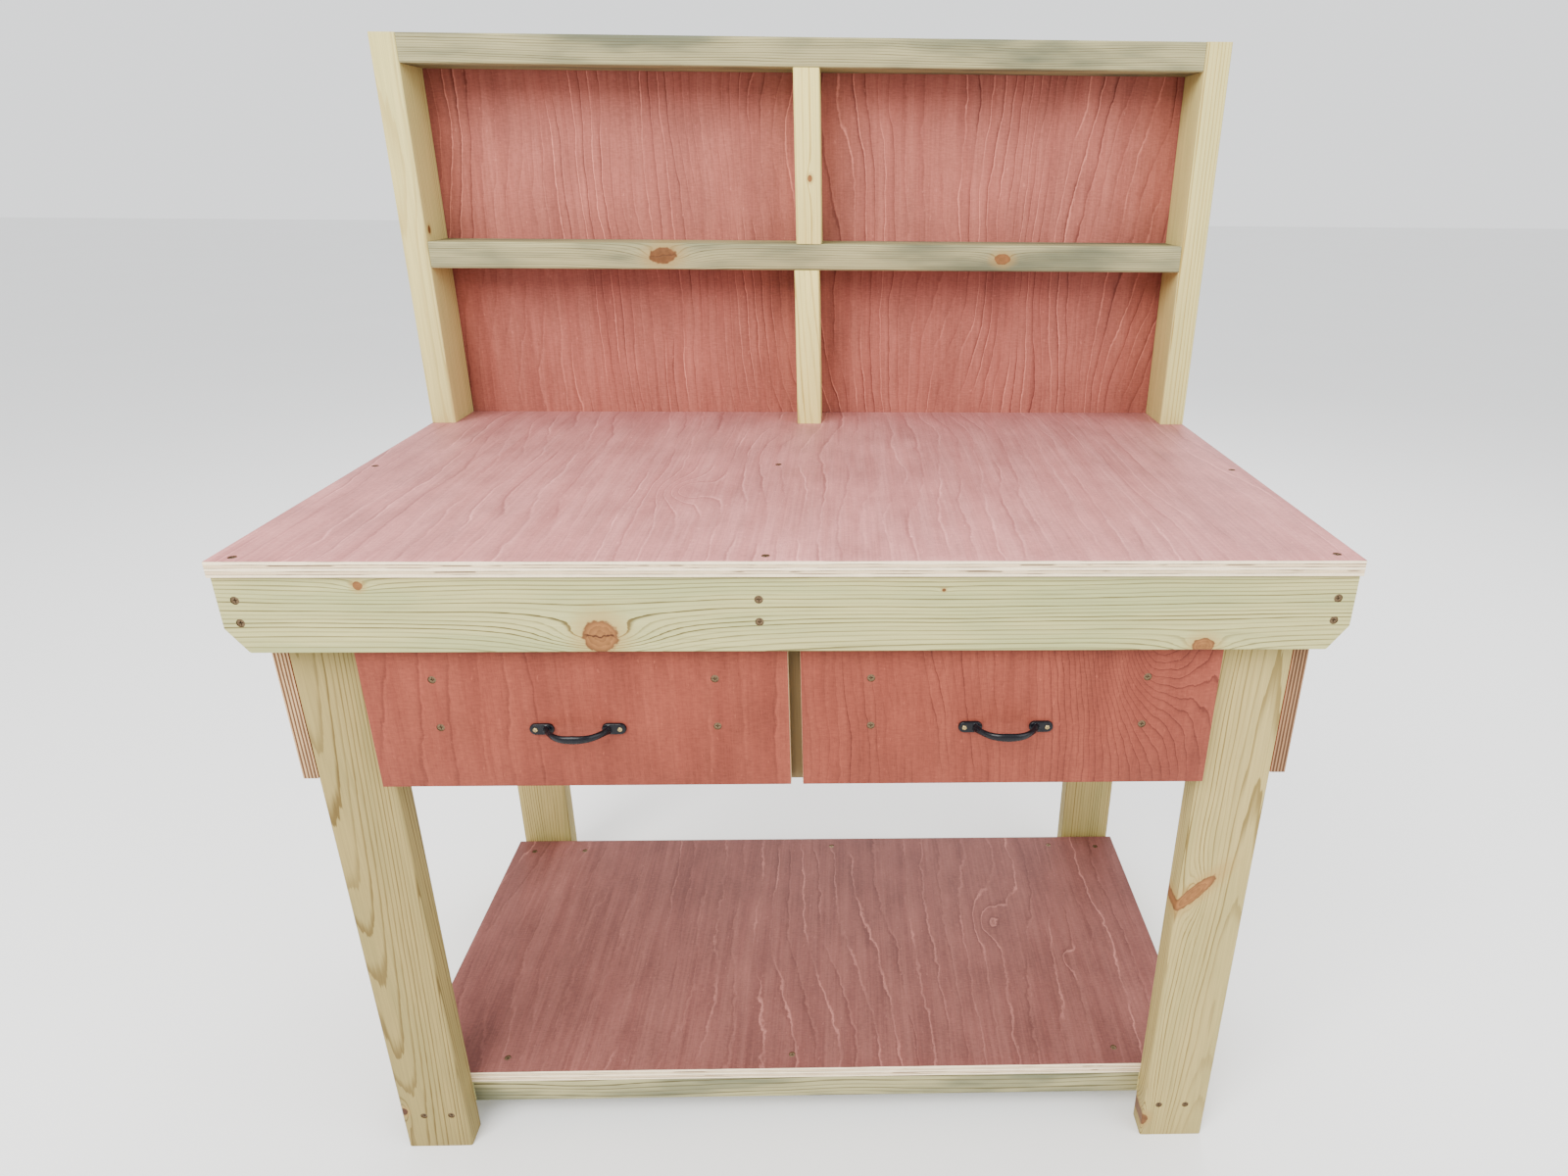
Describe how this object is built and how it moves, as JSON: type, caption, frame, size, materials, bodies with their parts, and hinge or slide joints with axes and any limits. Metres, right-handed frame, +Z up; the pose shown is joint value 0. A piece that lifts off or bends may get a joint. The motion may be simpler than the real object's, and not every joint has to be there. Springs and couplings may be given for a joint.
{
  "type": "potting bench",
  "caption": "Timber potting bench with plywood worktop and lower shelf, a framed back board with a middle rail, and drawers with bow handles under the front apron.",
  "frame": {"origin": "middle of the bench's whole footprint, on the ground", "axes": "+X to the right facing the drawers, +Y to the back board, +Z up"},
  "size_m": [1.22, 0.755, 1.453],
  "materials": {
    "pine": "planed, pressure-treated softwood, pale green",
    "red_plywood": "unfinished red hardwood-faced plywood",
    "drawer_plywood": "unfinished plywood",
    "black_iron": "black satin paint on cast iron",
    "sunk_screws": "yellow zinc, cross recess",
    "handle_screws": "brass, domed head",
    "runner_steel": "bright zinc-plated steel"
  },
  "bodies": {
    "bench": {"back_apron": "pine", "back_lower_stile": "pine", "back_mid_rail": "pine", "back_panel": "red_plywood", "back_top_rail": "pine", "back_upper_stile": "pine", "centre_joist": "pine", "centre_runner_rail": "pine", "divider_back_post": "pine", "divider_front_post": "pine", "fixed_runner_screws": "runner_steel", "frame_screws": "sunk_screws", "front_apron": "pine", "left_back_leg": "pine", "left_back_upright": "pine", "left_drawer_left_runner_fixed": "runner_steel", "left_drawer_right_runner_fixed": "runner_steel", "left_front_leg": "pine", "left_runner_rail": "pine", "left_shelf_side_rail": "pine", "left_side_apron": "pine", "left_side_panel": "red_plywood", "lower_shelf": "red_plywood", "right_back_leg": "pine", "right_back_upright": "pine", "right_drawer_left_runner_fixed": "runner_steel", "right_drawer_right_runner_fixed": "runner_steel", "right_front_leg": "pine", "right_runner_rail": "pine", "right_shelf_side_rail": "pine", "right_side_apron": "pine", "right_side_panel": "red_plywood", "sheet_screws": "sunk_screws", "shelf_back_rail": "pine", "shelf_front_rail": "pine", "worktop": "red_plywood"},
    "left_drawer": {"left_drawer_back_wall": "drawer_plywood", "left_drawer_bottom": "drawer_plywood", "left_drawer_front": "red_plywood", "left_drawer_front_screws": "sunk_screws", "left_drawer_front_wall": "drawer_plywood", "left_drawer_handle": "black_iron", "left_drawer_handle_screws": "handle_screws", "left_drawer_left_runner_moving": "runner_steel", "left_drawer_left_wall": "drawer_plywood", "left_drawer_right_runner_moving": "runner_steel", "left_drawer_right_wall": "drawer_plywood", "left_drawer_runner_screws": "runner_steel"},
    "right_drawer": {"right_drawer_back_wall": "drawer_plywood", "right_drawer_bottom": "drawer_plywood", "right_drawer_front": "red_plywood", "right_drawer_front_screws": "sunk_screws", "right_drawer_front_wall": "drawer_plywood", "right_drawer_handle": "black_iron", "right_drawer_handle_screws": "handle_screws", "right_drawer_left_runner_moving": "runner_steel", "right_drawer_left_wall": "drawer_plywood", "right_drawer_right_runner_moving": "runner_steel", "right_drawer_right_wall": "drawer_plywood", "right_drawer_runner_screws": "runner_steel"}
  },
  "joints": [
    {"name": "left_drawer_slide", "type": "slide", "parent": "bench", "child": "left_drawer", "axis": [0, -1, 0], "range_m": [0, 0.38]},
    {"name": "right_drawer_slide", "type": "slide", "parent": "bench", "child": "right_drawer", "axis": [0, -1, 0], "range_m": [0, 0.38]}
  ]
}
